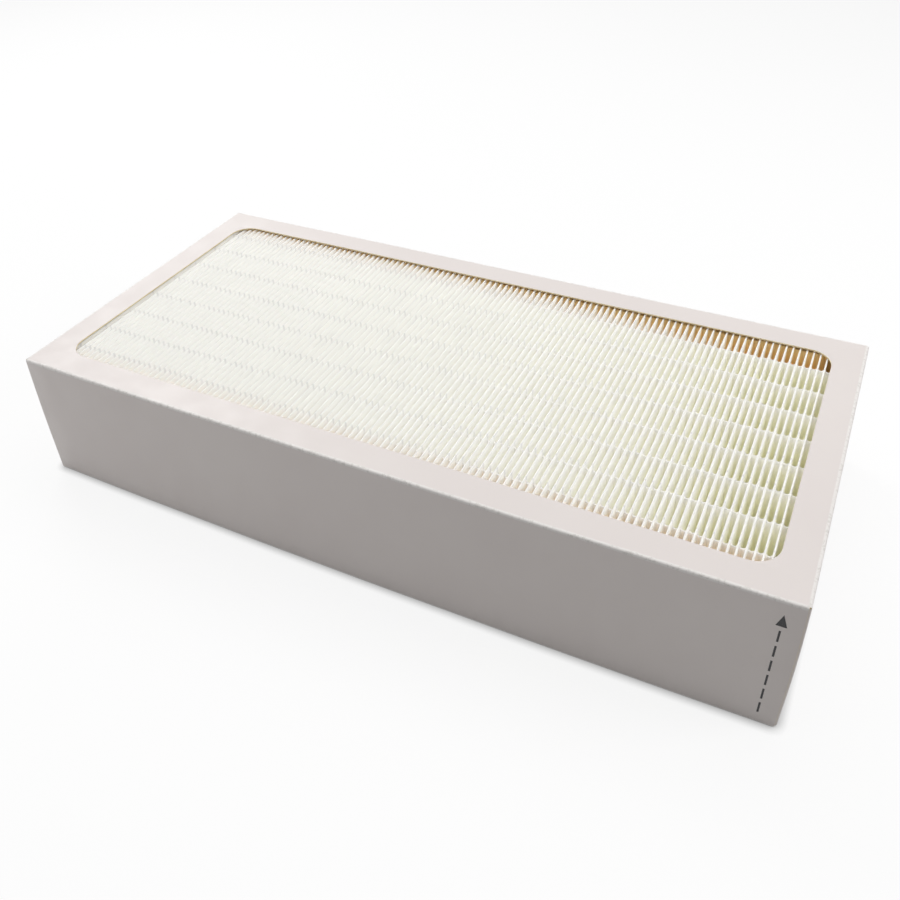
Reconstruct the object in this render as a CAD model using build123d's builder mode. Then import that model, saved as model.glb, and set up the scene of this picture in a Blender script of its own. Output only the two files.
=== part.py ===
from build123d import *
import os

# Deep-pleat air filter panel: a folded glass-fibre pack, glued into two trays of folded paperboard.
# It lies with its front window up. The origin is the centre of the rear face, +X runs along the long
# side and +Z points out of the front window.

# Outer size
length = 512.0
width = 243.0
height = 96.0

# Folded board
board = 1.0            # thickness of the coated paperboard
fold_radius = 1.2      # outside radius of a scored fold
lip = 19.5             # width of the border round each window
window_corner = 15.0   # corner radius of each window
flap = 28.0            # reach of a glue flap, from the outside of its corner
slit = 0.1             # air between a flap and the leaf of board that covers it
tray_play = 0.2        # play between the two trays
edge_lift = 0.8        # the front tray's raw edge stops this far above the rear face

# Pleated media
media = 0.7            # thickness of the filter paper
pleat_pitch = 4.4
pleat_recess = 3.5     # from the outside of a window face to the pleat crests

# Hot-melt separator beads, in rows across the valleys
bead_rows = 8
bead_pitch = 25.4
bead_thickness = 1.8
bead_recess = 0.8      # bead tops below the pleat crests
bead_clearance = 0.05

# Adhesive beds
side_seal = 1.6        # between the pleat ends and a long wall
least_end_seal = 2.0   # between the last pleat and a short wall

# Leaves of board from the outside in: front tray, its flaps, then the rear tray on the long sides, and
# front tray, the rear tray's flaps, then its short walls on the short sides
fold_middle = fold_radius - board / 2
flap_out_y = width / 2 - board - slit
rear_out_y = flap_out_y - board - tray_play
rear_out_x = length / 2 - board - tray_play
short_out_x = rear_out_x - board - slit
rear_wall_top = height - board - tray_play
inside_x = short_out_x - board
inside_y = rear_out_y - board

# Pleats: crests at the front, valleys between them, and one upright leg against each end seal
crest_z = height - pleat_recess
foot_z = pleat_recess
pleats = int(2 * (inside_x - least_end_seal - media) / pleat_pitch)
pack_half = pleats * pleat_pitch / 2
valley_z = foot_z + media
crest_half = media
pleat_half_y = inside_y - side_seal
valley_slope = (pleat_pitch / 2 - crest_half) / (crest_z - valley_z)


def folded_board(*corners):
    # A leaf of board seen on its cut edge, folded at each inner corner of its middle line
    with BuildLine() as middle:
        FilletPolyline(*corners, radius=fold_middle)
    trace(middle.line, line_width=board)


def face_and_folds(half_span, middle_z, turn):
    # The window face on its cut edge, with a quarter fold at each end
    with BuildLine() as middle:
        face = Line((-half_span, middle_z), (half_span, middle_z))
        JernArc(start=face @ 1, tangent=(1, 0), radius=fold_middle, arc_size=-turn)
        JernArc(start=face @ 0, tangent=(-1, 0), radius=fold_middle, arc_size=turn)
    trace(middle.line, line_width=board)


# Front tray: window face, long walls over the flaps of the short walls
with BuildPart() as front_tray:
    wall_middle = (width - board) / 2
    face_middle = height - board / 2
    with BuildSketch(Plane.YZ):
        folded_board((-wall_middle, edge_lift), (-wall_middle, face_middle),
                     (wall_middle, face_middle), (wall_middle, edge_lift))
    extrude(amount=length / 2 - fold_radius, both=True)
    with BuildSketch(Plane.XZ):
        face_and_folds(length / 2 - fold_radius, face_middle, 90)
    extrude(amount=width / 2 - fold_radius, both=True)
    with BuildSketch(Plane.XY.offset(edge_lift)):
        end_middle = (length - board) / 2
        flap_middle = flap_out_y - board / 2
        folded_board((length / 2 - flap, -flap_middle), (end_middle, -flap_middle),
                     (end_middle, flap_middle), (length / 2 - flap, flap_middle))
        mirror(about=Plane.YZ)
    extrude(amount=height - fold_radius - edge_lift)
    with BuildSketch(Plane.XY.offset(face_middle)):
        RectangleRounded(length - 2 * lip, width - 2 * lip, window_corner)
    extrude(amount=board, both=True, mode=Mode.SUBTRACT)

# Rear tray: turned the other way up, with the flaps of its long walls over its short walls
with BuildPart() as rear_tray:
    with BuildSketch(Plane.XZ):
        short_middle = short_out_x - board / 2
        folded_board((-short_middle, rear_wall_top), (-short_middle, board / 2),
                     (short_middle, board / 2), (short_middle, rear_wall_top))
    extrude(amount=rear_out_y - fold_radius, both=True)
    with BuildSketch(Plane.YZ):
        face_and_folds(rear_out_y - fold_radius, board / 2, -90)
    extrude(amount=short_out_x - fold_radius, both=True)
    with BuildSketch(Plane.XY.offset(fold_radius)):
        long_middle = rear_out_y - board / 2
        rear_flap_middle = rear_out_x - board / 2
        folded_board((-rear_flap_middle, rear_out_y - flap), (-rear_flap_middle, long_middle),
                     (rear_flap_middle, long_middle), (rear_flap_middle, rear_out_y - flap))
        mirror(about=Plane.XZ)
    extrude(amount=rear_wall_top - fold_radius)
    with BuildSketch(Plane.XY.offset(board / 2)):
        RectangleRounded(length - 2 * lip, width - 2 * lip, window_corner)
    extrude(amount=board, both=True, mode=Mode.SUBTRACT)

# Pleated media: one continuous sheet, its outline drawn on the pleat ends
front_side = [(-pack_half - media, crest_z), (-pack_half, crest_z), (-pack_half, valley_z)]
rear_side = [(-pack_half - media, foot_z), (-pack_half + crest_half, foot_z)]
for pleat in range(pleats):
    crest_x = (pleat + 0.5) * pleat_pitch - pack_half
    valley_x = crest_x + pleat_pitch / 2
    front_side += [(crest_x - crest_half, crest_z), (crest_x + crest_half, crest_z), (valley_x, valley_z)]
    rear_side += [(crest_x, crest_z - media), (valley_x - crest_half, foot_z)]
    if pleat < pleats - 1:
        rear_side += [(valley_x + crest_half, foot_z)]
front_side += [(pack_half, crest_z), (pack_half + media, crest_z)]
rear_side += [(pack_half + media, foot_z)]

with BuildPart() as pleated_media:
    with BuildSketch(Plane.XZ):
        with BuildLine():
            Polyline(*front_side, *reversed(rear_side), close=True)
        make_face()
    extrude(amount=pleat_half_y, both=True)

# Separator beads: one wedge fits the upper part of a valley, and a row has one in every front valley
bead_top = crest_z - bead_recess
bead_tip = valley_z + bead_clearance / valley_slope
bead_half = valley_slope * (bead_top - bead_tip)
with BuildPart() as bead:
    with BuildSketch(Plane.XZ):
        Polygon((-bead_half, bead_top), (0, bead_tip), (bead_half, bead_top), align=None)
    extrude(amount=bead_thickness / 2, both=True)

bead_parts = []
for row in range(bead_rows):
    row_y = (row - (bead_rows - 1) / 2) * bead_pitch
    row_places = GridLocations(pleat_pitch, 0, pleats - 1, 1).locations
    bead_row = Compound([bead.solid().moved(Location((0, row_y, 0)) * place) for place in row_places])
    bead_row.label = f"bead_row_{row + 1}"
    bead_parts.append(bead_row)

# Adhesive beds, standing on the rear tray between its walls and the media
seal_height = rear_wall_top - fold_radius
with BuildPart() as near_seal:
    with BuildSketch(Plane.XY.offset(fold_radius)):
        with Locations((0, -inside_y)):
            Rectangle(2 * inside_x, side_seal, align=(Align.CENTER, Align.MIN))
    extrude(amount=seal_height)

with BuildPart() as far_seal:
    with BuildSketch(Plane.XY.offset(fold_radius)):
        with Locations((0, inside_y)):
            Rectangle(2 * inside_x, side_seal, align=(Align.CENTER, Align.MAX))
    extrude(amount=seal_height)

end_seal = inside_x - pack_half - media
with BuildPart() as left_seal:
    with BuildSketch(Plane.XY.offset(fold_radius)):
        with Locations((-inside_x, 0)):
            Rectangle(end_seal, 2 * pleat_half_y, align=(Align.MIN, Align.CENTER))
    extrude(amount=seal_height)

with BuildPart() as right_seal:
    with BuildSketch(Plane.XY.offset(fold_radius)):
        with Locations((inside_x, 0)):
            Rectangle(end_seal, 2 * pleat_half_y, align=(Align.MAX, Align.CENTER))
    extrude(amount=seal_height)

front_tray.part.label = "front_tray"
rear_tray.part.label = "rear_tray"
pleated_media.part.label = "pleated_media"
near_seal.part.label = "near_seal"
far_seal.part.label = "far_seal"
left_seal.part.label = "left_seal"
right_seal.part.label = "right_seal"

os.makedirs("parts", exist_ok=True)
export_step(front_tray.part, "parts/front_tray.step")
export_step(rear_tray.part, "parts/rear_tray.step")
export_step(pleated_media.part, "parts/pleated_media.step")
export_step(near_seal.part, "parts/near_seal.step")
export_step(far_seal.part, "parts/far_seal.step")
export_step(left_seal.part, "parts/left_seal.step")
export_step(right_seal.part, "parts/right_seal.step")
for bead_part in bead_parts:
    export_step(bead_part, f"parts/{bead_part.label}.step")
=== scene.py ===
import math

import bmesh
import bpy
from mathutils import Matrix, Vector, noise


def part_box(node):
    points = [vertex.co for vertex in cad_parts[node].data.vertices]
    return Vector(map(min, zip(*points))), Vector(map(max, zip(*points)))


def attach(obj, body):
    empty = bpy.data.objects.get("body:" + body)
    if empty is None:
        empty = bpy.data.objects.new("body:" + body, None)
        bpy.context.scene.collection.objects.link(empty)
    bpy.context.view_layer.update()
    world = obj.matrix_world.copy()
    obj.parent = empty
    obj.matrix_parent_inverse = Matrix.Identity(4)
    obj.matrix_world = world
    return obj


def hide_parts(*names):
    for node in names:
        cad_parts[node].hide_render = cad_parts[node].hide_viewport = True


# Deep-pleat air filter panel: two folded trays of coated board round a pack of pleated glass-fibre paper.
# Shapes are worked out in millimetres and brought to metres when a piece is finished.

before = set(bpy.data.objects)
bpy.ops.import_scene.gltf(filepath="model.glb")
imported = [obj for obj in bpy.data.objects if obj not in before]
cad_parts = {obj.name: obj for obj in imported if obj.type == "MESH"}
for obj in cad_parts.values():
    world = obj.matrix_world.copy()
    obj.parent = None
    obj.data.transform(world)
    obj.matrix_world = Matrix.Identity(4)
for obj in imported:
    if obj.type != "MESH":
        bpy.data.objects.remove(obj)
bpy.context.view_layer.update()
print("frame loaded:", len(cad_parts), "nodes")

metre = 1000.0      # millimetres
tolerance = 0.01    # when points and edges are found by their place
noise.seed_set(5)   # without it, noise_vector follows the clock


def boxOf(cadNode):
    # a CAD node's lowest and highest corner, in millimetres
    low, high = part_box(cadNode)
    return low * metre, high * metre


trayLow, trayHigh = boxOf("front_tray")
rearHigh = boxOf("rear_tray")[1]
packLow, packHigh = boxOf("pleated_media")
panelTop = trayHigh.z

board = {
    "thickness": 1.0,
    "fold": 1.2,         # outside radius of a scored fold
    "lip": 19.5,         # border round a window
    "corner": 15.0,      # corner radius of a window
    "flap": 28.0,        # reach of a glue flap from its corner
    "flapOut": 120.4,    # outer face of the front tray's flaps
    "rearFlapOut": 254.8,
    "slit": 0.1,         # air between a flap and the wall that covers it
    "cornerSteps": 10,
    "foldSteps": 5,
    "wallSteps": 6,
    "cell": 17.0,        # spacing of the cuts that let the board bend
    "planeCut": 0.001,   # points this near to a cut lie on it
    "weld": 0.005,
    "edgeRound": 0.16,
    "edgeAngle": 60,     # only edges sharper than this are rounded
    "sharpAngle": 50,
    "bendFrom": 16.0,    # how far inside a wall its bulge begins
    "warp": 0.22,        # slight unevenness of the board
    "warpLength": 70.0,
    "warpAlongX": 0.4,
    "frontSeed": 3.0,
    "rearSeed": 11.0,
}

# How the walls bulge outwards where the pack presses on them
bulge = {
    "longTop": 1.3,
    "longFoot": 2.6,
    "farShare": 0.45,    # the far wall bulges less
    "end": 1.5,
    "corner": 0.7,       # what is left of the end walls' bulge at the upright folds
}


def wallBulge(point, start):
    # moves a point near a wall outwards: start is how far from the wall the bend begins
    x, y, z = point
    low = 1.0 - min(max(z / panelTop, 0.0), 1.0)
    along = max(1.0 - (x / trayHigh.x) ** 2, 0.0)
    depth = bulge["longTop"] + (bulge["longFoot"] - bulge["longTop"]) * low
    if y > 0:
        depth *= bulge["farShare"] * low
    near = min(max((abs(y) - (trayHigh.y - start)) / start, 0.0), 1.0)
    y += math.copysign(depth * along * near, y)
    across = max(1.0 - (y / trayHigh.y) ** 2, 0.0)
    middle = math.sin(math.pi * min(max(z / panelTop, 0.0), 1.0))
    depth = middle * (bulge["corner"] + (bulge["end"] - bulge["corner"]) * across)
    near = min(max((abs(x) - (trayHigh.x - start)) / start, 0.0), 1.0)
    x += math.copysign(depth * near, x)
    return Vector((x, y, z))


def newPiece(name, bm, *materials):
    # a mesh in metres, linked to the scene, with its materials in its slots
    bmesh.ops.scale(bm, vec=Vector((1, 1, 1)) / metre, verts=bm.verts)
    mesh = bpy.data.meshes.new(name)
    bm.to_mesh(mesh)
    bm.free()
    for material in materials:
        mesh.materials.append(material)
    piece = bpy.data.objects.new(name, mesh)
    bpy.context.scene.collection.objects.link(piece)
    return piece


def settle(piece, sharpAngle):
    # takes the modifiers into the mesh and keeps the edges over this angle sharp
    depsgraph = bpy.context.evaluated_depsgraph_get()
    mesh = bpy.data.meshes.new_from_object(piece.evaluated_get(depsgraph))
    piece.modifiers.clear()
    piece.data = mesh
    mesh.shade_smooth()
    mesh.set_sharp_from_angle(angle=math.radians(sharpAngle))
    return piece


def place(piece, slotName, *nodes):
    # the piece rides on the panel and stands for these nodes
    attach(piece, "root")
    if nodes:
        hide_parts(*nodes)
    return piece


# Materials

def newMaterial(name, roughness):
    material = bpy.data.materials.new(name)
    material.use_nodes = True
    shader = material.node_tree.nodes["Principled BSDF"]
    shader.inputs["Roughness"].default_value = roughness
    return material, material.node_tree, shader


def node(tree, kind, *inputs, **settings):
    # a node whose inputs are given in order: a socket is linked, a value is set, None is skipped
    made = tree.nodes.new("ShaderNode" + kind)
    for name, value in settings.items():
        setattr(made, name, value)
    for socket, value in zip(made.inputs, inputs):
        if isinstance(value, bpy.types.NodeSocket):
            tree.links.new(value, socket)
        elif value is not None:
            socket.default_value = value
    return made


def objectPoint(tree):
    return node(tree, "TexCoord").outputs["Object"]


def noiseOf(tree, point, perMetre, detail=3.0, roughness=0.55):
    made = node(tree, "TexNoise", point)
    made.inputs["Scale"].default_value = perMetre
    made.inputs["Detail"].default_value = detail
    made.inputs["Roughness"].default_value = roughness
    return made.outputs["Fac"]


def maths(tree, operation, *values):
    return node(tree, "Math", *values, operation=operation).outputs[0]


def remap(tree, value, low, high, newLow=0.0, newHigh=1.0):
    made = node(tree, "MapRange", value, low, high, newLow, newHigh, interpolation_type="SMOOTHSTEP")
    return made.outputs[0]


def blendColour(tree, factor, first, second):
    made = tree.nodes.new("ShaderNodeMix")
    made.data_type = "RGBA"
    sockets = [s for s in made.inputs if s.enabled]
    for socket, value in zip(sockets, (factor, first, second)):
        if isinstance(value, bpy.types.NodeSocket):
            tree.links.new(value, socket)
        else:
            socket.default_value = value
    return next(s for s in made.outputs if s.enabled)


def bump(tree, height, distance, strength):
    made = tree.nodes.new("ShaderNodeBump")
    made.inputs["Strength"].default_value = strength
    made.inputs["Distance"].default_value = distance
    tree.links.new(height, made.inputs["Height"])
    return made.outputs["Normal"]


def feed(tree, shader, **sockets):
    for name, socket in sockets.items():
        tree.links.new(socket, shader.inputs[name])


# Colours are linear. In materials, lengths are in metres and noise is in waves per metre.
coatTone = {
    "clouds": ((0.735, 0.675, 0.652, 1), (0.78, 0.729, 0.70, 1)),
    "fleck": (0.62, 0.58, 0.53, 1),
    "fold": (0.93, 0.92, 0.90, 1),       # painted highlight: the coat is painted lighter along the upper folds, where their rounding catches the light
    "foldHighlightShare": 0.5,
    "foldFrom": 0.0024,                  # from the outside of the fold
    "foldFull": 0.0014,
    "foldLow": 0.0935,                   # only folds above this height get the painted highlight and the crazing
    "foldHigh": 0.0948,
    "crazed": (0.60, 0.57, 0.53, 1),
    "crazedShare": 0.5,
}


def coatedBoard():
    # white clay coat, satin, with faint clouds, fine fibre relief, crazing along the folds and a painted
    # highlight along the upper folds
    material, tree, shader = newMaterial("coatedBoard", 0.42)
    point = objectPoint(tree)
    x, y, z = node(tree, "SeparateXYZ", point).outputs
    clouds = noiseOf(tree, point, 14.0, 4.0)
    fibres = noiseOf(tree, point, 900.0, 4.0, 0.65)
    tone = blendColour(tree, clouds, *coatTone["clouds"])
    flecks = remap(tree, noiseOf(tree, point, 260.0, 2.0), 0.66, 0.78)
    tone = blendColour(tree, maths(tree, "MULTIPLY", flecks, 0.10), tone, coatTone["fleck"])
    # the folds round the front face, which get a painted highlight and crazing
    wide, deep = trayHigh.x / metre, trayHigh.y / metre
    share = maths(tree, "DIVIDE", x, wide)
    along = maths(tree, "SUBTRACT", 1.0, maths(tree, "MULTIPLY", share, share))
    near = maths(tree, "MULTIPLY", along, maths(tree, "LESS_THAN", y, 0.0))
    edge = maths(tree, "MULTIPLY_ADD", near, bulge["longTop"] / metre, deep)
    toSide = maths(tree, "SUBTRACT", edge, maths(tree, "ABSOLUTE", y))
    toEnd = maths(tree, "SUBTRACT", wide, maths(tree, "ABSOLUTE", x))
    toFold = maths(tree, "MINIMUM", toSide, toEnd)
    high = remap(tree, z, coatTone["foldLow"], coatTone["foldHigh"])
    # painted highlight: a band along the outside of the upper folds
    stretched = remap(tree, toFold, coatTone["foldFrom"], coatTone["foldFull"])
    fold = maths(tree, "MULTIPLY", stretched, high)
    # painted highlight: the coat turns lighter in this band
    foldHighlight = maths(tree, "MULTIPLY", fold, coatTone["foldHighlightShare"])
    tone = blendColour(tree, foldHighlight, tone, coatTone["fold"])
    crazing = remap(tree, noiseOf(tree, point, 420.0, 5.0, 0.7), 0.50, 0.60)
    crazed = maths(tree, "MULTIPLY", fold, crazing)
    darker = maths(tree, "MULTIPLY", crazed, coatTone["crazedShare"])
    tone = blendColour(tree, darker, tone, coatTone["crazed"])
    relief = maths(tree, "ADD", fibres, maths(tree, "MULTIPLY", crazed, -1.5))
    normal = bump(tree, relief, 0.00004, 0.5)
    gloss = remap(tree, noiseOf(tree, point, 60.0, 3.0), 0.3, 0.7, 0.38, 0.5)
    feed(tree, shader, **{"Base Color": tone, "Roughness": gloss, "Normal": normal})
    shader.inputs["Specular IOR Level"].default_value = 0.4
    return material


bareTone = {
    "clouds": ((0.62, 0.545, 0.44, 1), (0.72, 0.66, 0.56, 1)),
    "fibre": (0.80, 0.75, 0.66, 1),
}


def bareBoard():
    # the uncoated brown side, with long pale and dark fibres
    material, tree, shader = newMaterial("bareBoard", 0.85)
    point = objectPoint(tree)
    clouds = noiseOf(tree, point, 60.0, 5.0, 0.6)
    fibres = noiseOf(tree, point, 1100.0, 3.0, 0.7)
    tone = blendColour(tree, clouds, *bareTone["clouds"])
    tone = blendColour(tree, remap(tree, fibres, 0.52, 0.72), tone, bareTone["fibre"])
    feed(tree, shader, **{"Base Color": tone, "Normal": bump(tree, fibres, 0.00008, 0.6)})
    shader.inputs["Specular IOR Level"].default_value = 0.2
    return material


cutTone = {
    "plies": ((0.74, 0.60, 0.34, 1), (0.93, 0.83, 0.58, 1)),
    "stretch": (0.25, 0.25, 6.0),        # plies are long in the board's plane and thin across it
}


def cutBoard():
    # the cut edge: thin straw-coloured and cream plies
    material, tree, shader = newMaterial("cutBoard", 0.9)
    point = objectPoint(tree)
    stretched = node(tree, "Mapping", point)
    stretched.inputs["Scale"].default_value = cutTone["stretch"]
    plies = noiseOf(tree, stretched.outputs[0], 500.0, 4.0, 0.7)
    tone = blendColour(tree, remap(tree, plies, 0.35, 0.65), *cutTone["plies"])
    feed(tree, shader, **{"Base Color": tone, "Normal": bump(tree, plies, 0.0001, 0.6)})
    shader.inputs["Specular IOR Level"].default_value = 0.2
    return material


paperTone = {
    "crest": (0.993, 0.990, 0.975, 1),
    # painted light: deep below the crests the paper is painted brighter and yellower, for light that bounces
    # between the pleats
    "deep": (0.9999, 0.9990, 0.971, 1),
    "shallow": 0.0005,                   # below the crests, where the painted light begins to brighten and yellow the tone
    "paintedLightFull": 0.016,
    "clouds": (0.97, 0.962, 0.92, 1),
    "cloudShare": 0.12,
    "soaked": (0.99, 0.95, 0.83, 1),     # with adhesive, beyond the last beads
    "soakFrom": 0.099,                   # from the middle of the panel
    "soakFull": 0.108,
    "soakRagged": 0.008,
    "soakDepth": (-0.0005, 0.0035),      # the crests themselves stay white
    "trace": (0.80, 0.795, 0.80, 1),     # glue on the crests in line with the beads
    "traceShare": 0.7,
    "traceWidth": (0.05, 0.02),          # in parts of the beads' spacing
    "traceDepth": (0.003, 0.001),
}


def depthBelow(tree, point):
    # how far a point lies below the plain solid's crests, from the nearer window face
    z = node(tree, "SeparateXYZ", point).outputs[2]
    fromFront = maths(tree, "SUBTRACT", packHigh.z / metre, z)
    fromRear = maths(tree, "SUBTRACT", z, packLow.z / metre)
    return maths(tree, "MINIMUM", fromFront, fromRear)


bead = {
    "rows": 8,
    "spacing": 25.4,
    "recess": 4.2,        # bead tops below the crests, at the paper
    "sag": 0.8,           # and this much lower in the middle
    "wallHalf": 0.85,     # half thickness of the top at the paper
    "middleHalf": 0.35,
    # depths at which a wedge has a ring of points, and how much wider it is there than above
    "rings": ((1.6, 1.7), (5.0, 1.3), (30.0, 1.0), (80.0, 1.0)),
}


def filterPaper():
    # glass-fibre paper: matt white, with matted fibres; painted light makes it brighter and a little yellower
    # deeper below the crests, where light comes to it from paper
    material, tree, shader = newMaterial("filterPaper", 0.92)
    point = objectPoint(tree)
    # painted light: the tone brightens and yellows with depth below the crests
    depth = remap(tree, depthBelow(tree, point), paperTone["shallow"], paperTone["paintedLightFull"])
    tone = blendColour(tree, depth, paperTone["crest"], paperTone["deep"])
    clouds = noiseOf(tree, point, 220.0, 3.0)
    clouded = maths(tree, "MULTIPLY", clouds, paperTone["cloudShare"])
    tone = blendColour(tree, clouded, tone, paperTone["clouds"])
    y = node(tree, "SeparateXYZ", point).outputs[1]
    ragged = maths(tree, "MULTIPLY", noiseOf(tree, point, 90.0, 3.0), paperTone["soakRagged"])
    outward = maths(tree, "ADD", maths(tree, "ABSOLUTE", y), ragged)
    soaked = remap(tree, outward, paperTone["soakFrom"], paperTone["soakFull"])
    under = remap(tree, depthBelow(tree, point), *paperTone["soakDepth"])
    tone = blendColour(tree, maths(tree, "MULTIPLY", soaked, under), tone, paperTone["soaked"])
    # beads lie half a spacing to each side of the middle, and then one spacing apart
    share = maths(tree, "MULTIPLY_ADD", y, metre / bead["spacing"], 0.5)
    away = maths(tree, "PINGPONG", share, 0.5)
    trace = remap(tree, away, *paperTone["traceWidth"])
    patchy = remap(tree, noiseOf(tree, point, 260.0, 2.0), 0.30, 0.55)
    shallow = remap(tree, depthBelow(tree, point), *paperTone["traceDepth"])
    trace = maths(tree, "MULTIPLY", maths(tree, "MULTIPLY", trace, patchy), shallow)
    trace = maths(tree, "MULTIPLY", trace, paperTone["traceShare"])
    tone = blendColour(tree, trace, tone, paperTone["trace"])
    fibres = noiseOf(tree, point, 1800.0, 4.0, 0.7)
    feed(tree, shader, **{"Base Color": tone, "Normal": bump(tree, fibres, 0.00006, 0.6)})
    shader.inputs["Specular IOR Level"].default_value = 0.15
    return material


# painted light: the glue's deep tone is brighter and yellower than its top
glueToneAndPaintedLight = {"top": (0.975, 0.965, 0.965, 1), "deep": (0.99, 0.985, 0.92, 1)}


def separatorGlue():
    # hot-melt glue: off-white and waxy; painted light makes it brighter and yellower deeper in the valleys
    material, tree, shader = newMaterial("separatorGlue", 0.38)
    point = objectPoint(tree)
    # painted light: brighter and yellower with depth below the crests
    depth = remap(tree, depthBelow(tree, point), paperTone["shallow"], paperTone["paintedLightFull"])
    tone = blendColour(tree, depth, glueToneAndPaintedLight["top"], glueToneAndPaintedLight["deep"])
    ripples = noiseOf(tree, point, 500.0, 2.0)
    feed(tree, shader, **{"Base Color": tone, "Normal": bump(tree, ripples, 0.00012, 0.5)})
    return material


adhesiveTone = {"streaks": ((0.90, 0.65, 0.29, 1), (0.965, 0.79, 0.45, 1))}


def sealAdhesive():
    # amber adhesive with darker streaks and a wet shine
    material, tree, shader = newMaterial("sealAdhesive", 0.28)
    point = objectPoint(tree)
    streaks = noiseOf(tree, point, 70.0, 4.0, 0.6)
    tone = blendColour(tree, streaks, *adhesiveTone["streaks"])
    waves = noiseOf(tree, point, 160.0, 3.0)
    feed(tree, shader, **{"Base Color": tone, "Normal": bump(tree, waves, 0.0005, 0.5)})
    return material


inkTone = {"wear": ((0.018, 0.018, 0.02, 1), (0.07, 0.068, 0.065, 1))}


def printInk():
    # black ink, a little worn
    material, tree, shader = newMaterial("printInk", 0.55)
    wear = noiseOf(tree, objectPoint(tree), 1500.0, 3.0)
    tone = blendColour(tree, remap(tree, wear, 0.55, 0.75), *inkTone["wear"])
    feed(tree, shader, **{"Base Color": tone})
    return material


coat = coatedBoard()
kraft = bareBoard()
cutEdge = cutBoard()
paper = filterPaper()
glue = separatorGlue()
adhesive = sealAdhesive()
ink = printInk()
print("materials made")


# Folded trays

def openEdges(bm, x=None, y=None, z=None, reach=math.inf, highest=math.inf):
    # the open edges that lie at x, y and z where these are given, within reach of y = 0 and not above highest
    def fits(point):
        near = all(want is None or abs(value - want) < tolerance for value, want in zip(point, (x, y, z)))
        return near and abs(point.y) < reach + tolerance and point.z < highest + tolerance

    return [e for e in bm.edges if e.is_boundary and all(fits(v.co) for v in e.verts)]


def pull(bm, edges, direction):
    # extends the sheet from these edges
    made = bmesh.ops.extrude_edge_only(bm, edges=edges)["geom"]
    made = [g for g in made if isinstance(g, bmesh.types.BMVert)]
    bmesh.ops.translate(bm, verts=made, vec=direction)
    return made


def foldOver(bm, edges, centre, axis, degrees):
    # a quarter fold from these edges, about an axis through centre
    bmesh.ops.spin(bm, geom=edges, cent=centre, axis=axis, dvec=(0, 0, 0), steps=board["foldSteps"],
                   angle=math.radians(degrees), use_merge=False, use_duplicate=False)


def pullDown(bm, edges, depth):
    # extends a wall downwards from these level edges, in steps that let it bulge
    steps = board["wallSteps"]
    for _ in range(steps):
        made = set(pull(bm, edges, (0, 0, -depth / steps)))
        edges = [e for e in bm.edges if e.is_boundary and all(v in made for v in e.verts)
                 and abs(e.verts[0].co.z - e.verts[1].co.z) < tolerance]


def cutAcross(bm, axis, reach, spacing):
    # evenly spaced cuts, so that the sheet can bend
    count = max(int(2 * reach / spacing), 1)
    normal = Vector((0, 0, 0))
    normal[axis] = 1
    for i in range(1, count):
        bmesh.ops.bisect_plane(bm, geom=bm.verts[:] + bm.edges[:] + bm.faces[:], dist=board["planeCut"],
                               plane_co=normal * (2 * reach * i / count - reach), plane_no=normal)


def trayBlank(endHalf, sideHalf, flapOut, height, windowX, windowY):
    # the outer skin of a tray, face up at z = 0, with plain walls at y = +-sideHalf and walls with flaps at
    # x = +-endHalf
    bm = bmesh.new()
    fold = board["fold"]
    faceX, faceY = endHalf - fold, sideHalf - fold
    corners = ((-1, -1), (1, -1), (1, 1), (-1, 1))
    border = [bm.verts.new((sx * faceX, sy * faceY, 0)) for sx, sy in corners]
    radius, steps = board["corner"], board["cornerSteps"]
    rims = []
    for i, (sx, sy) in enumerate(corners):
        centre = Vector((sx * (windowX - radius), sy * (windowY - radius), 0))
        angles = [math.pi + (i + k / steps) * math.pi / 2 for k in range(steps + 1)]
        rims.append([bm.verts.new(centre + Vector((math.cos(a), math.sin(a), 0)) * radius) for a in angles])
    # four leaves of the border, which meet at its corners
    middle = steps // 2
    for i in range(4):
        after = (i + 1) % 4
        inner = rims[after][middle::-1] + rims[i][:middle - 1:-1]
        bm.faces.new([border[i], border[after], *inner])
    wallReach = flapOut - fold
    cutAcross(bm, 0, faceX, board["cell"])
    cutAcross(bm, 1, min(wallReach, faceY), board["cell"])
    for side in (-1, 1):
        cut = Vector((0, side * min(wallReach, faceY), 0))
        bmesh.ops.bisect_plane(bm, geom=bm.verts[:] + bm.edges[:] + bm.faces[:], dist=board["planeCut"],
                               plane_co=cut, plane_no=(0, 1, 0))
    for side in (-1, 1):
        foldOver(bm, openEdges(bm, y=side * faceY, z=0), (0, side * faceY, -fold), (1, 0, 0), -90 * side)
        edges = openEdges(bm, x=side * faceX, z=0, reach=faceY)
        foldOver(bm, edges, (side * faceX, 0, -fold), (0, 1, 0), 90 * side)
    for side in (-1, 1):
        pullDown(bm, openEdges(bm, y=side * sideHalf, z=-fold), height - fold)
        pullDown(bm, openEdges(bm, x=side * endHalf, z=-fold, reach=wallReach), height - fold)
        for turn in (-1, 1):
            if wallReach > faceY:
                edges = openEdges(bm, x=side * endHalf, y=turn * faceY, highest=-fold)
                pull(bm, edges, (0, turn * (wallReach - faceY), 0))
            edges = openEdges(bm, x=side * endHalf, y=turn * wallReach, highest=-fold)
            foldOver(bm, edges, (side * faceX, turn * wallReach, 0), (0, 0, 1), 90 * side * turn)
            edges = openEdges(bm, x=side * faceX, y=turn * flapOut, highest=-fold)
            pull(bm, edges, (-side * (board["flap"] - fold), 0, 0))
    bmesh.ops.remove_doubles(bm, verts=bm.verts[:], dist=board["weld"])
    return bm


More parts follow.
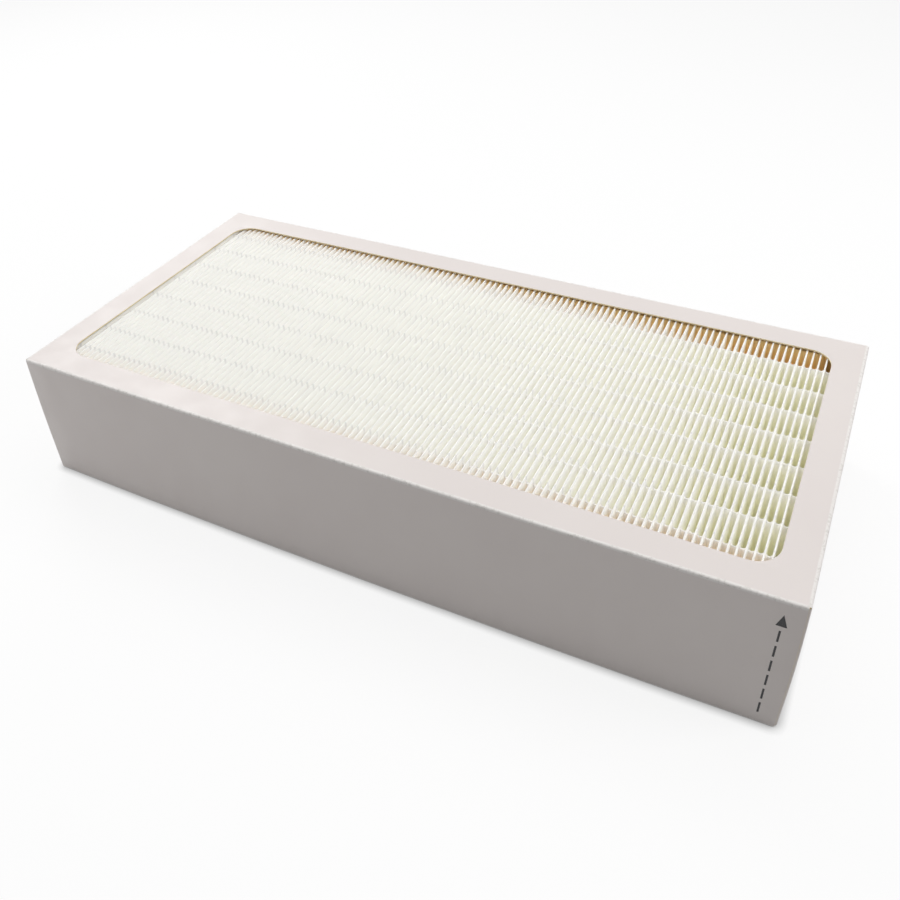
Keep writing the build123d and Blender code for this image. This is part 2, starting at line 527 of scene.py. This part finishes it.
def bendBoard(bm, seed):
    # the bulge of the walls and a slow unevenness of the board
    for vert in bm.verts:
        moved = wallBulge(vert.co, board["bendFrom"])
        wave = noise.noise_vector(vert.co / board["warpLength"] + Vector((seed, 0, 0))) * board["warp"]
        wave.x *= board["warpAlongX"]
        vert.co = moved + wave
        vert.co.z = max(vert.co.z, 0.0)


def finishTray(name, bm, slotNode):
    piece = newPiece(name, bm, coat, kraft, cutEdge)
    thick = piece.modifiers.new("thickness", "SOLIDIFY")
    thick.thickness = board["thickness"] / metre
    thick.offset = -1
    thick.use_even_offset = True
    thick.material_offset = 1
    thick.material_offset_rim = 2
    soft = piece.modifiers.new("edges", "BEVEL")
    soft.width = board["edgeRound"] / metre
    soft.segments = 2
    soft.limit_method = "ANGLE"
    soft.angle_limit = math.radians(board["edgeAngle"])
    settle(piece, board["sharpAngle"])
    return place(piece, "coated_board", slotNode)


def makeTrays():
    windowX, windowY = trayHigh.x - board["lip"], trayHigh.y - board["lip"]
    bm = trayBlank(trayHigh.x, trayHigh.y, board["flapOut"], panelTop - trayLow.z, windowX, windowY)
    bmesh.ops.translate(bm, verts=bm.verts, vec=(0, 0, panelTop))
    bendBoard(bm, board["frontSeed"])
    frontTray = finishTray("frontTrayShell", bm, "front_tray")
    # the rear tray is the same blank, turned a quarter and face down
    plainHalf = board["rearFlapOut"] - board["thickness"] - board["slit"]
    bm = trayBlank(rearHigh.y, plainHalf, board["rearFlapOut"], rearHigh.z, windowY, windowX)
    turn = Matrix.Rotation(math.pi, 3, "X") @ Matrix.Rotation(math.pi / 2, 3, "Z")
    bmesh.ops.rotate(bm, verts=bm.verts, cent=(0, 0, 0), matrix=turn)
    bendBoard(bm, board["rearSeed"])
    finishTray("rearTrayShell", bm, "rear_tray")
    return frontTray


# Printed mark: a plain dashed arrow towards the front face, at the right end of the near wall
mark = {
    "x": 245.0,
    "foot": 8.5,
    "dashes": 6,
    "dash": 8.4,
    "gap": 3.2,
    "width": 1.1,
    "headWidth": 5.6,
    "headLength": 8.5,
    "film": 0.04,       # thickness of the ink, and its lift off the board
    "startsOut": 2.0,   # it is drawn this far in front of the wall and then laid on it
    "sharpAngle": 60,
}


def makeFlowMark(wall):
    bm = bmesh.new()
    upright = Matrix.Rotation(math.pi / 2, 4, "X")
    before = -trayHigh.y - mark["startsOut"]
    lowest = Vector((mark["x"], before, mark["foot"] + mark["dash"] / 2))
    stretch = Matrix.Diagonal((mark["width"], mark["dash"], 1, 1))
    bmesh.ops.create_grid(bm, x_segments=1, y_segments=4, size=0.5,
                          matrix=Matrix.Translation(lowest) @ upright @ stretch)
    step = mark["dash"] + mark["gap"]
    bmesh.ops.spin(bm, geom=bm.verts[:] + bm.edges[:] + bm.faces[:], angle=0, steps=mark["dashes"] - 1,
                   axis=(0, 0, 1), cent=(0, 0, 0), dvec=(0, 0, step), use_duplicate=True)
    # the arrow's head is a circle of three points, stretched to its width and length
    headFoot = mark["foot"] + mark["dashes"] * step
    middle = Vector((mark["x"], before, headFoot + mark["headLength"] / 3))
    stretch = Matrix.Diagonal((mark["headWidth"] / math.sqrt(3), mark["headLength"] / 1.5, 1, 1))
    head = bmesh.ops.create_circle(bm, cap_ends=True, segments=3, radius=1,
                                   matrix=Matrix.Translation(middle) @ upright @ stretch)
    sides = list(dict.fromkeys(e for v in head["verts"] for e in v.link_edges))
    bmesh.ops.subdivide_edges(bm, edges=sides, cuts=2, use_grid_fill=True)
    piece = newPiece("flowMark", bm, ink)
    onWall = piece.modifiers.new("onWall", "SHRINKWRAP")
    onWall.target = wall
    onWall.offset = mark["film"] / metre
    film = piece.modifiers.new("film", "SOLIDIFY")
    film.thickness = mark["film"] / metre
    film.offset = -1
    settle(piece, mark["sharpAngle"])
    return place(piece, "coated_board")


makeFlowMark(makeTrays())
print("trays made")


# Pleated pack

pleat = {
    "pitch": 4.4,
    "count": 113,
    "paper": 0.5,         # thickness
    "rise": 1.7,          # the crests stand this much nearer to the window faces than the plain solid's
    "foldOut": 0.7,       # middle point of a fold's bend, in parts of half the paper's thickness
    "foldDown": 0.3,
    "lean": 0.1,          # a leg draws away from its crest by this much
    "leanDepth": 6.0,     # over this depth
    "atBead": 1.3,        # half length of the stretch that a bead holds
    "atEnd": 9.0,         # length of the stretch at each end of a fold
    "sharpAngle": 60,
}
# How the folds stray. Each wave has its step per fold, its length along a fold and a seed.
stray = {
    "x": 0.22,
    "z": 0.22,
    "slow": (0.21, 60.0, 5.0),
    "quick": (2.7, 22.0, 9.0),
    "lift": (1.9, 35.0, 17.0),
    "slowShare": 0.7,
    "quickShare": 0.6,
}
# How the wedges of glue stray from their row. Each noise has a step per valley, a step per row and a seed.
wedge = {
    "along": 0.5,
    "up": 0.35,
    "thicker": 0.25,
    "placeNoise": (3.1, 7.7, 2.0),
    "thickNoise": (2.3, 5.1, 8.0),
    "sharpAngle": 50,
}
# Adhesive that has run in between the pleat ends
plug = {
    "middle": 109.9,      # distance from the panel's middle
    "recess": 1.6,
    "sag": 1.0,
    "wallHalf": 6.4,
    "middleHalf": 5.2,
    "rings": ((2.5, 1.05), (12.0, 1.0), (40.0, 0.98), (82.0, 0.97)),
}
pleatEnd = packHigh.y
beadRows = [(row - (bead["rows"] - 1) / 2) * bead["spacing"] for row in range(bead["rows"])]


def unevenness(x, y, z):
    # how far the folds stray: most at the crests, nothing at mid depth
    fold = round(x / (pleat["pitch"] / 2))
    middle = (packHigh.z + packLow.z) / 2
    outer = ((z - middle) / (packHigh.z - middle)) ** 2
    side = 1 if z > middle else -1
    slow, quick, lift = (noise.noise((fold * perFold, y / along, side * seed))
                         for perFold, along, seed in (stray["slow"], stray["quick"], stray["lift"]))
    dx = (stray["slowShare"] * slow + stray["quickShare"] * quick) * stray["x"]
    return dx * outer, lift * stray["z"] * outer


def makePaper():
    half = pleat["paper"] / 2
    pitch = pleat["pitch"]
    top, foot = packHigh.z + pleat["rise"] - half, packLow.z - pleat["rise"] + half
    out, down = half * pleat["foldOut"], half * pleat["foldDown"]
    lean, leanDepth = half + pleat["lean"], pleat["leanDepth"]
    # one pleat from foot to foot, seen from the pleat ends
    profile = [(0, top), (out, top - down), (half, top - half), (lean, top - leanDepth)]
    profile += [(pitch / 2 - lean, foot + leanDepth), (pitch / 2 - half, foot + half)]
    profile += [(pitch / 2 - out, foot + down), (pitch / 2, foot)]
    profile = [(-x, z) for x, z in reversed(profile[1:])] + profile
    bm = bmesh.new()
    verts = [bm.verts.new((x, -pleatEnd, z)) for x, z in profile]
    edges = [bm.edges.new(pair) for pair in zip(verts, verts[1:])]
    stops = [-pleatEnd, -pleatEnd + pleat["atEnd"]]
    for row in beadRows:
        stops += [row - pleat["atBead"], row + pleat["atBead"], row + bead["spacing"] / 2]
    stops = stops[:-1] + [pleatEnd - pleat["atEnd"], pleatEnd]
    for start, stop in zip(stops, stops[1:]):
        made = set(pull(bm, edges, (0, stop - start, 0)))
        edges = [e for e in bm.edges if e.is_boundary and all(v in made for v in e.verts)]
    bmesh.ops.translate(bm, verts=bm.verts, vec=(-(pleat["count"] - 1) / 2 * pitch, 0, 0))
    bmesh.ops.spin(bm, geom=bm.verts[:] + bm.edges[:] + bm.faces[:], angle=0, steps=pleat["count"] - 1,
                   axis=(0, 0, 1), cent=(0, 0, 0), dvec=(pitch, 0, 0), use_duplicate=True)
    bmesh.ops.remove_doubles(bm, verts=bm.verts[:], dist=tolerance)
    bmesh.ops.recalc_face_normals(bm, faces=bm.faces[:])
    highest = max(bm.faces, key=lambda f: f.calc_center_median().z + f.normal.z)
    if highest.normal.z < 0:
        bmesh.ops.reverse_faces(bm, faces=bm.faces[:])
    for vert in bm.verts:
        dx, dz = unevenness(*vert.co)
        vert.co.x += dx
        vert.co.z += dz
    piece = newPiece("pleatedPaper", bm, paper)
    thick = piece.modifiers.new("thickness", "SOLIDIFY")
    thick.thickness = pleat["paper"] / metre
    thick.offset = 0
    thick.use_even_offset = True
    settle(piece, pleat["sharpAngle"])
    return place(piece, "filter_paper", "pleated_media")


def halfWidth(z):
    # half width of a front valley at this height
    valleyFloor = packLow.z + pleat["paper"]
    slope = (pleat["pitch"] / 2 - pleat["paper"]) / (packHigh.z - valleyFloor)
    return slope * (z - valleyFloor)


def makeWedges(name, shape, row, y, valleys, fromRear):
    # one wedge in every valley, in a row at this y
    top = packHigh.z + pleat["rise"] - shape["recess"]
    bm = bmesh.new()
    bmesh.ops.create_grid(bm, x_segments=4, y_segments=1, size=1)
    for vert in bm.verts:
        u = vert.co.x
        thickness = shape["middleHalf"] + (shape["wallHalf"] - shape["middleHalf"]) * u * u
        vert.co = Vector((u * halfWidth(top), vert.co.y * thickness, top - shape["sag"] * (1 - u * u)))
    last = top
    faces = bm.faces[:]
    for depth, widen in shape["rings"]:
        made = bmesh.ops.extrude_face_region(bm, geom=faces)["geom"]
        faces = [g for g in made if isinstance(g, bmesh.types.BMFace)]
        level = top - depth
        narrow = halfWidth(level) / halfWidth(last)
        for vert in (g for g in made if isinstance(g, bmesh.types.BMVert)):
            vert.co.x *= narrow
            vert.co.y *= widen
            vert.co.z = level
        last = level
    bmesh.ops.recalc_face_normals(bm, faces=bm.faces[:])
    first = -(valleys - 1) / 2 * pleat["pitch"]
    bmesh.ops.translate(bm, verts=bm.verts, vec=(first, y, 0))
    bmesh.ops.spin(bm, geom=bm.verts[:] + bm.edges[:] + bm.faces[:], angle=0, steps=valleys - 1,
                   axis=(0, 0, 1), cent=(0, 0, 0), dvec=(pleat["pitch"], 0, 0), use_duplicate=True)
    middle = (packHigh.z + packLow.z) / 2
    if fromRear:
        turn = Matrix.Rotation(math.pi, 3, "Y")
        bmesh.ops.rotate(bm, verts=bm.verts, cent=(0, 0, middle), matrix=turn)
    for vert in bm.verts:
        dx, dz = unevenness(*vert.co)
        valley = round((vert.co.x + (0 if fromRear else pleat["pitch"] / 2)) / pleat["pitch"])
        perValley, perRow, seed = wedge["placeNoise"]
        shift = noise.noise((valley * perValley, row * perRow, seed + fromRear))
        perValley, perRow, seed = wedge["thickNoise"]
        swell = noise.noise((valley * perValley, row * perRow, seed + fromRear))
        vert.co.x += dx
        vert.co.y = y + (vert.co.y - y) * (1 + wedge["thicker"] * swell) + wedge["along"] * shift
        vert.co.z += dz + wedge["up"] * shift
    return settle(newPiece(name, bm, glue if shape is bead else adhesive), wedge["sharpAngle"])


makePaper()
for row, y in enumerate(beadRows):
    inFront = makeWedges(f"frontBeads_{row + 1}", bead, row, y, pleat["count"] - 1, False)
    place(inFront, "separator_glue", f"bead_row_{row + 1}")
    place(makeWedges(f"rearBeads_{row + 1}", bead, row, y, pleat["count"], True), "separator_glue")
for row, side in enumerate(("near", "far")):
    y = (2 * row - 1) * plug["middle"]
    place(makeWedges(side + "FrontPlugs", plug, row, y, pleat["count"] - 1, False), "seal_adhesive")
    place(makeWedges(side + "RearPlugs", plug, row, y, pleat["count"], True), "seal_adhesive")
print("pleated pack made")


# Beds of adhesive

seal = {
    "uneven": 0.35,
    "unevenLength": 9.0,
    "bendFrom": 3.4,      # how far inside a wall its bulge begins
    "cell": 5,            # spacing of the cuts along a bed
    "upright": 12,        # cuts up its height
    "tall": 10,           # its long edges are longer than this
    "shrink": 0.2,        # its top and foot draw in by this much
    "rim": 0.1,           # points this near to them belong to them
    "sharpAngle": 60,
}


def makeSeal(name, slotNode):
    low, high = boxOf(slotNode)
    size = high - low
    centre = (low + high) / 2
    bm = bmesh.new()
    bmesh.ops.create_cube(bm, size=1, matrix=Matrix.Translation(centre) @ Matrix.Diagonal((*size, 1)))
    alongX = size.x > size.y
    along = 0 if alongX else 1
    longEdges = [e for e in bm.edges if abs((e.verts[0].co - e.verts[1].co)[along]) > seal["tall"]]
    cuts = int(max(size.x, size.y) / seal["cell"])
    bmesh.ops.subdivide_edges(bm, edges=longEdges, cuts=cuts, use_grid_fill=True)
    upright = [e for e in bm.edges if abs((e.verts[0].co - e.verts[1].co).z) > seal["tall"]]
    bmesh.ops.subdivide_edges(bm, edges=upright, cuts=seal["upright"], use_grid_fill=True)
    thin = 1 if alongX else 0
    for vert in bm.verts:
        inner = abs(vert.co[thin]) < abs(centre[thin])
        drift = noise.noise(vert.co / seal["unevenLength"]) * seal["uneven"]
        if inner:
            vert.co[thin] -= math.copysign(abs(drift) / 2, centre[thin])
        else:
            vert.co = wallBulge(vert.co, seal["bendFrom"])
        if vert.co.z > high.z - seal["rim"] or vert.co.z < low.z + seal["rim"]:
            vert.co.z += drift / 2 - math.copysign(seal["shrink"], vert.co.z - centre.z)
    bmesh.ops.recalc_face_normals(bm, faces=bm.faces[:])
    return place(settle(newPiece(name, bm, adhesive), seal["sharpAngle"]), "seal_adhesive", slotNode)


for side in ("near", "far", "left", "right"):
    makeSeal(side + "Adhesive", side + "_seal")
print("adhesive made")


# Floor, light and camera

ground = {
    "half": 6000,
    "drop": 0.1,          # below the panel, so that the two don't share a plane
    "contact": 0.006,     # metres over which a painted contact shadow darkens the floor near the panel
    "whiteShare": 0.85,   # of the floor's look that is white, darkened only by the painted contact shadow
    "bounce": (0.50, 0.50, 0.50, 1),
}


def seenRays(tree):
    # 1 for rays that show a thing and 0 for rays that only light others
    rays = tree.nodes.new("ShaderNodeLightPath").outputs
    seen = maths(tree, "MAXIMUM", rays["Is Camera Ray"], rays["Is Glossy Ray"])
    return maths(tree, "MAXIMUM", seen, rays["Is Transmission Ray"])


def makeFloor():
    bm = bmesh.new()
    below = Matrix.Translation((0, 0, -ground["drop"]))
    bmesh.ops.create_grid(bm, x_segments=1, y_segments=1, size=ground["half"], matrix=below)
    material = bpy.data.materials.new("paleFloor")
    material.use_nodes = True
    tree = material.node_tree
    tree.nodes.clear()
    # painted shadow: the white that the camera sees is darkened by ambient occlusion near the panel
    paintedContactShadow = tree.nodes.new("ShaderNodeAmbientOcclusion")
    paintedContactShadow.inputs["Distance"].default_value = ground["contact"]
    white = node(tree, "Emission", paintedContactShadow.outputs["Color"], 1.0)
    lit = node(tree, "BsdfDiffuse", (1, 1, 1, 1))
    plain = node(tree, "BsdfDiffuse", ground["bounce"])
    shown = node(tree, "MixShader", ground["whiteShare"], lit.outputs[0], white.outputs[0])
    both = node(tree, "MixShader", seenRays(tree), plain.outputs[0], shown.outputs[0])
    made = tree.nodes.new("ShaderNodeOutputMaterial")
    tree.links.new(both.outputs[0], made.inputs["Surface"])
    newPiece("floor", bm, material)


studio = {
    "ambient": 0.287,
    "bounces": 64,        # light needs many to come back out of the deep valleys
    # soft boxes: place in metres, size in metres, watts
    "boxes": {
        "topBox": ((0.02, 0.22, 1.35), 1.5, 8.4),
        "farBox": ((-1.10, 0.75, 1.00), 0.8, 7.5),
        "rightBox": ((1.05, 0.25, 0.85), 0.5, 4.4),
        "nearFill": ((-0.85, -0.70, 0.35), 0.4, 1.35),
    },
}


def makeLight():
    world = bpy.data.worlds.new("studio")
    bpy.context.scene.world = world
    world.use_nodes = True
    tree = world.node_tree
    tree.nodes.clear()
    room = node(tree, "Background", (1, 1, 1, 1), studio["ambient"])
    white = node(tree, "Background", (1, 1, 1, 1), 1.0)
    both = node(tree, "MixShader", seenRays(tree), room.outputs[0], white.outputs[0])
    made = tree.nodes.new("ShaderNodeOutputWorld")
    tree.links.new(both.outputs[0], made.inputs["Surface"])
    for name, (spot, size, watts) in studio["boxes"].items():
        lamp = bpy.data.lights.new(name, "AREA")
        lamp.shape = "DISK"
        lamp.size = size
        lamp.energy = watts
        box = bpy.data.objects.new(name, lamp)
        bpy.context.scene.collection.objects.link(box)
        box.location = spot
        box.rotation_euler = (-Vector(spot)).to_track_quat("-Z", "Y").to_euler()


view = {
    "place": (0.23727, -0.45630, 0.45076),
    "towards": (-0.3743, 0.71799, -0.58685),
    "roll": -2.175,       # degrees about the line of sight
    "lens": 37.295,
    "picture": 36.0,      # width and height of the picture behind the lens
    "shift": (0.00983, -0.08397),
    "nearest": 0.01,
}


def makeCamera():
    data = bpy.data.cameras.new("camera")
    data.sensor_width = view["picture"]
    data.lens = view["lens"]
    data.shift_x, data.shift_y = view["shift"]
    data.clip_start = view["nearest"]
    camera = bpy.data.objects.new("camera", data)
    bpy.context.scene.collection.objects.link(camera)
    level = Vector(view["towards"]).to_track_quat("-Z", "Y").to_matrix()
    turned = level @ Matrix.Rotation(math.radians(view["roll"]), 3, "Z")
    camera.matrix_world = Matrix.Translation(view["place"]) @ turned.to_4x4()
    bpy.context.scene.camera = camera


makeFloor()
makeLight()
makeCamera()
scene = bpy.context.scene
scene.view_settings.view_transform = "Standard"
scene.cycles.max_bounces = studio["bounces"]
scene.cycles.diffuse_bounces = studio["bounces"]
print("floor, light and camera made")
